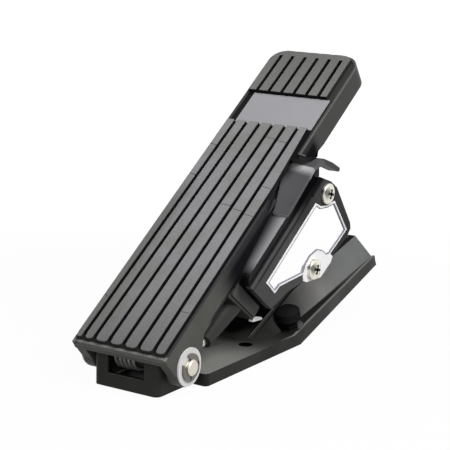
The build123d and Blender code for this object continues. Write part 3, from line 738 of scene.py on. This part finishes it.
BEAD_SECTION = [
    (LINER_FACE + BEAD_PROUD, LINER_EDGE - BEAD_LAP),
    (LINER_FACE + BEAD_PROUD, LINER_EDGE + BEAD_WIDTH),
    (LINER_FACE - BEAD_SUNK, LINER_EDGE + BEAD_WIDTH),
    (LINER_FACE - BEAD_SUNK, LINER_EDGE - BEAD_LAP),
]
bead_points = []
for x, edge in BEAD_SECTION:
    bead_points += [in_tread(x, along, depth) for along, depth in inset(WINDOW, edge)]
bead_faces = grid_faces(0, len(BEAD_SECTION), len(WINDOW), True, True)
bead_grey = matte("bead_grey", (0.30, 0.29, 0.36), 0.5)
add_piece("liner_bead", bead_points, bead_faces, bead_grey, "treadle")

# Border that closes the grooves at the toe, round the pad corners
BORDER_START = 272.4
BORDER_LEFT = -30.6
BORDER_RIGHT = 28.9
BORDER_RIGHT_END = 274.4
BORDER_RADIUS = 10.95
BORDER_PROUD = 0.005
BORDER_SUNK = 0.5
border = [(BORDER_LEFT, BORDER_START)]
border += corner_arc(TOE_CORNER, BORDER_RADIUS, range(33, 91, 8), side=-1)
border += corner_arc(TOE_CORNER, BORDER_RADIUS, range(90, 46, -8))
border += [(BORDER_RIGHT, BORDER_RIGHT_END), (BORDER_RIGHT, BORDER_START)]
border_points = []
for depth in (-RIB_TOP - BORDER_PROUD, BORDER_SUNK):
    border_points += [in_tread(x, along, depth) for x, along in border]
border_faces = prism_faces(0, len(border))
toe_border = add_piece(
    "toe_border", border_points, border_faces, finishes["tread_pad"], "treadle"
)
round_edges(toe_border, EDGE_ROUNDING["tread_pad"], segments=3, angle=30.0, harden=False)

# Light line of painted highlight along the right rim, from the notch round the toe corner, and
# its turn at the end of the toe wall: outline along and below
RIM_START = 181.6
RIM_RADIUS = 13.5
RIM_PROUD = 0.04
RIM_WIDTH = 0.75
RIM_DEPTH = 0.9
RIM_TURN = [(180.7, -0.3), (181.9, -0.04), (186.5, 5.4), (185.6, 5.8)]
RIM_TURN_REACH = (34.5, 35.05)


def rim_path(inset_by):
    side = TREADLE_HALF - inset_by
    path = [(side, RIM_START), (side, TOE_CORNER[1])]
    return path + corner_arc(TOE_CORNER, RIM_RADIUS - inset_by, range(8, 57, 8))


RIM_SECTION = [
    (-RIM_PROUD, RIM_DEPTH),
    (-RIM_PROUD, -RIM_PROUD),
    (RIM_WIDTH, -RIM_PROUD),
    (RIM_WIDTH, RIM_DEPTH),
]
rim_points = []
for inset_by, depth in RIM_SECTION:
    rim_points += [in_tread(x, along, depth) for x, along in rim_path(inset_by)]
sides = len(RIM_SECTION)
stations = len(rim_points) // sides
rim_faces = [tuple(side * stations + end for side in range(sides)) for end in (0, stations - 1)]
rim_faces += grid_faces(0, sides, stations, True, False)
rim_faces += prism_faces(len(rim_points), len(RIM_TURN))
for x in RIM_TURN_REACH:
    rim_points += [in_tread(x, along, depth) for along, depth in RIM_TURN]
# Painted highlight tone
rim_highlight = matte("rim_highlight", (0.12, 0.12, 0.117), 0.6, gloss=0.12)
add_piece("rim_line", rim_points, rim_faces, rim_highlight, "treadle")

# Cheek screws as smooth domes: along, below, seat and shank length
SCREWS = ((187.1, 40.1, CHEEK_FACE, 12.0), (146.0, 70.7, LINER_FACE, 4.0))
HEAD_RADIUS = 7.1
HEAD_EDGE = 2.6
HEAD_RISE = 4.2
SEAT_CHAMFER = 0.2
EDGE_DROP = 0.35
SHANK_RADIUS = 3.0
HEAD_SIDES = 56
DOME_RINGS = 12
SMOOTH_ANGLE = 50.0
dome_rise = HEAD_RISE - HEAD_EDGE
dome_radius = (HEAD_RADIUS**2 + dome_rise**2) / (2 * dome_rise)
dome_half = math.asin(HEAD_RADIUS / dome_radius)


def screw_profile(shank):
    """Height over the seat and radius, from the shank's end to near the top of the dome."""
    profile = [
        (-shank, SHANK_RADIUS),
        (0.0, SHANK_RADIUS),
        (0.0, HEAD_RADIUS - SEAT_CHAMFER),
        (SEAT_CHAMFER, HEAD_RADIUS),
        (HEAD_EDGE - EDGE_DROP, HEAD_RADIUS),
    ]
    for ring in range(1, DOME_RINGS):
        angle = dome_half * (1 - ring / DOME_RINGS)
        height = HEAD_RISE - dome_radius * (1 - math.cos(angle))
        profile.append((height, dome_radius * math.sin(angle)))
    return profile


screw_points = []
screw_faces = []
for along, depth, seat, shank in SCREWS:
    profile = screw_profile(shank)
    first = len(screw_points)
    for height, radius in profile:
        for side in range(HEAD_SIDES):
            angle = 2 * math.pi * side / HEAD_SIDES
            spot = (along + radius * math.cos(angle), depth + radius * math.sin(angle))
            screw_points.append(in_tread(seat + height, *spot))
    screw_faces += grid_faces(first, len(profile), HEAD_SIDES, False, True)
    screw_faces.append(tuple(range(first, first + HEAD_SIDES)))
    top = len(screw_points)
    last = top - HEAD_SIDES
    screw_points.append(in_tread(seat + HEAD_RISE, along, depth))
    for side in range(HEAD_SIDES):
        screw_faces.append((last + side, last + (side + 1) % HEAD_SIDES, top))
screw_heads = add_piece(
    "cheek_screws", screw_points, screw_faces, finishes["bracket_screws"], "treadle"
)
for face in screw_heads.data.polygons:
    face.use_smooth = True
screw_heads.data.set_sharp_from_angle(angle=math.radians(SMOOTH_ANGLE))
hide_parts("bracket_screws")

# Cross recesses of the cheek screws, as dark inlays painted with the recess shade
RECESS_LONG = 3.3
RECESS_HALF = 0.9
RECESS_TURN = 50.0
RECESS_PROUD = 0.04
RECESS_SUNK = 1.2
recess_points = []
recess_faces = []
for along, depth, seat, _ in SCREWS:
    head_top = seat + HEAD_RISE
    for turn in (0.0, 90.0):
        angle = math.radians(turn + RECESS_TURN)
        long_way = RECESS_LONG * Vector((math.cos(angle), math.sin(angle)))
        short_way = RECESS_HALF * Vector((-math.sin(angle), math.cos(angle)))
        recess_faces += prism_faces(len(recess_points), 4)
        for x in (head_top + RECESS_PROUD, head_top - RECESS_SUNK):
            for a, b in ((-1, -1), (1, -1), (1, 1), (-1, 1)):
                spot = Vector((along, depth)) + a * long_way + b * short_way
                recess_points.append(in_tread(x, *spot))
recess_shade = matte("recess_shade", (0.012, 0.009, 0.006), 0.7, gloss=0.1)
add_piece("screw_recesses", recess_points, recess_faces, recess_shade, "treadle")

# Return spring as a copy of its CAD node's mesh, shown in place of the node
spring_mesh = NODES["return_spring"].data.copy()
winding_spring = bpy.data.objects.new("winding_spring", spring_mesh)
bpy.context.scene.collection.objects.link(winding_spring)
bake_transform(winding_spring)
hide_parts("return_spring")

# Retaining clips in the form of their CAD node, turned about the pin in their grooves
CLIP_TURN = 135.0
clip_turn = Matrix.Rotation(math.radians(CLIP_TURN), 4, "X")
clip_mesh = NODES["retaining_clips"].data.copy()
clip_mesh.transform(Matrix.Translation(HINGE) @ clip_turn @ Matrix.Translation(-HINGE))
turned_clips = bpy.data.objects.new("turned_clips", clip_mesh)
bpy.context.scene.collection.objects.link(turned_clips)
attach(turned_clips, "base")
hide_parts("retaining_clips")

# Heel ends of the ribs, a little longer than the CAD ones: left and right edges
RIB_ENDS = (
    (-32.6, -29.0),
    (-26.2, -20.8),
    (-18.0, -9.8),
    (-7.0, 1.2),
    (4.0, 12.2),
    (15.0, 23.6),
    (26.4, 32.6),
)
END_ALONG = 2.8
END_ROOT = 9.0
END_CORNER = 2.4
END_CORNER_SHARE = 0.42
END_CLEARANCE = 0.03
END_BELOW_TOP = 0.02
END_SUNK = 0.25
END_ROUNDING = 0.0004
CORNER_STEPS = 6
end_points = []
end_faces = []
for left, right in RIB_ENDS:
    corner = min(END_CORNER, END_CORNER_SHARE * (right - left))
    left += END_CLEARANCE
    right -= END_CLEARANCE
    quarter = [math.pi / 2 * step / CORNER_STEPS for step in range(CORNER_STEPS + 1)]
    short = [corner * (1 - math.cos(angle)) for angle in quarter]
    long = [corner * (1 - math.sin(angle)) for angle in quarter]
    outline = [(left, END_ROOT)]
    outline += [(left + a, END_ALONG + b) for a, b in zip(short, long)]
    outline += [(right - b, END_ALONG + a) for a, b in zip(short, long)]
    outline.append((right, END_ROOT))
    end_faces += prism_faces(len(end_points), len(outline))
    for depth in (-RIB_TOP + END_BELOW_TOP, END_SUNK):
        end_points += [in_tread(x, along, depth) for x, along in outline]
rib_ends = add_piece("rib_ends", end_points, end_faces, finishes["tread_pad"], "treadle")
round_edges(rib_ends, END_ROUNDING, segments=2, angle=40.0, harden=False)

# Stage: pale floor, white surround, soft light; sizes in metres


def sight_share(tree):
    """1 for camera, mirror and glass rays."""
    path = add_node(tree, "ShaderNodeLightPath")
    seen = add_node(tree, "ShaderNodeMath", operation="MAXIMUM")
    also = add_node(tree, "ShaderNodeMath", operation="MAXIMUM")
    tree.links.new(path.outputs["Is Camera Ray"], seen.inputs[0])
    tree.links.new(path.outputs["Is Glossy Ray"], seen.inputs[1])
    tree.links.new(seen.outputs[0], also.inputs[0])
    tree.links.new(path.outputs["Is Transmission Ray"], also.inputs[1])
    return also.outputs[0]


def mix_shaders(tree, share, first, second, output):
    """First shader, or the second by its share, to the output node."""
    mix = add_node(tree, "ShaderNodeMixShader")
    tree.links.new(share, mix.inputs["Fac"])
    tree.links.new(first.outputs[0], mix.inputs[1])
    tree.links.new(second.outputs[0], mix.inputs[2])
    tree.links.new(mix.outputs[0], tree.nodes[output].inputs["Surface"])


FLOOR_HALF = 20.0
FLOOR_DROP = 0.0002
FLOOR_GREY = 0.35
FLOOR_ROUGHNESS = 0.9
FLOOR_WHITE_SHARE = 0.93
FLOOR_GLOW = 1.04
SHADOW_REACH = (0.3, 0.8)
corners = ((-1, -1), (1, -1), (1, 1), (-1, 1))
floor_mesh = bpy.data.meshes.new("floor")
floor_mesh.from_pydata(
    [(a * FLOOR_HALF, b * FLOOR_HALF, -FLOOR_DROP) for a, b in corners], [], [(0, 1, 2, 3)]
)
floor = bpy.data.objects.new("floor", floor_mesh)
bpy.context.scene.collection.objects.link(floor)
floor_material, floor_tree, floor_shader = new_material("floor_white")
coat(floor_tree, floor_shader, grey(FLOOR_GREY), FLOOR_ROUGHNESS, 0.0)
floor_glow = add_node(floor_tree, "ShaderNodeEmission")
floor_glow.inputs["Strength"].default_value = FLOOR_GLOW
reach = add_node(floor_tree, "ShaderNodeVectorMath", operation="LENGTH")
floor_tree.links.new(object_place(floor_tree), reach.inputs[0])
far_off = step_between(floor_tree, reach.outputs["Value"], *SHADOW_REACH)
white_share = add_node(floor_tree, "ShaderNodeMapRange")
white_share.inputs["To Min"].default_value = FLOOR_WHITE_SHARE
floor_tree.links.new(far_off, white_share.inputs["Value"])
floor_share = product(floor_tree, sight_share(floor_tree), white_share.outputs["Result"])
mix_shaders(floor_tree, floor_share, floor_shader, floor_glow, "Material Output")
floor_mesh.materials.append(floor_material)

AMBIENT = 0.10
world = bpy.data.worlds.new("studio")
bpy.context.scene.world = world
world.use_nodes = True
world_tree = world.node_tree
ambient = world_tree.nodes["Background"]
white = add_node(world_tree, "ShaderNodeBackground")
for background, strength in ((ambient, AMBIENT), (white, 1.0)):
    background.inputs["Color"].default_value = (1, 1, 1, 1)
    background.inputs["Strength"].default_value = strength
mix_shaders(world_tree, sight_share(world_tree), ambient, white, "World Output")

AIM = Vector((0.0, 0.10, 0.08))


def soft_lamp(name, place, size, power):
    data = bpy.data.lights.new(name, "AREA")
    data.shape = "SQUARE"
    data.size = size
    data.energy = power
    lamp = bpy.data.objects.new(name, data)
    lamp.location = place
    lamp.rotation_euler = (AIM - Vector(place)).to_track_quat("-Z", "Y").to_euler()
    bpy.context.scene.collection.objects.link(lamp)


soft_lamp("right_softbox", (0.93, -0.06, 1.24), 0.9, 21.0)
soft_lamp("overhead_softbox", (0.0, -0.10, 1.55), 0.9, 3.0)
soft_lamp("front_fill", (0.75, -1.15, 0.72), 0.8, 7.0)


def photo_camera():
    heading = math.radians(CAMERA_HEADING)
    rise = math.radians(CAMERA_ELEVATION)
    roll = math.radians(CAMERA_ROLL)
    level = Vector((math.cos(heading), math.sin(heading), 0))
    flat_back = Vector((math.sin(heading), -math.cos(heading), 0))
    back = math.cos(rise) * flat_back + math.sin(rise) * SKYWARD
    plumb = back.cross(level)
    right = math.cos(roll) * level + math.sin(roll) * plumb
    up = -math.sin(roll) * level + math.cos(roll) * plumb
    data = bpy.data.cameras.new("photo_camera")
    data.lens = CAMERA_LENS
    data.sensor_width = CAMERA_SENSOR
    data.sensor_fit = "HORIZONTAL"
    camera = bpy.data.objects.new("photo_camera", data)
    turn = Matrix((right, up, back)).transposed().to_4x4()
    camera.matrix_world = Matrix.Translation(CAMERA_PLACE) @ turn
    bpy.context.scene.collection.objects.link(camera)
    bpy.context.scene.camera = camera


photo_camera()
bpy.context.scene.view_settings.view_transform = "Standard"
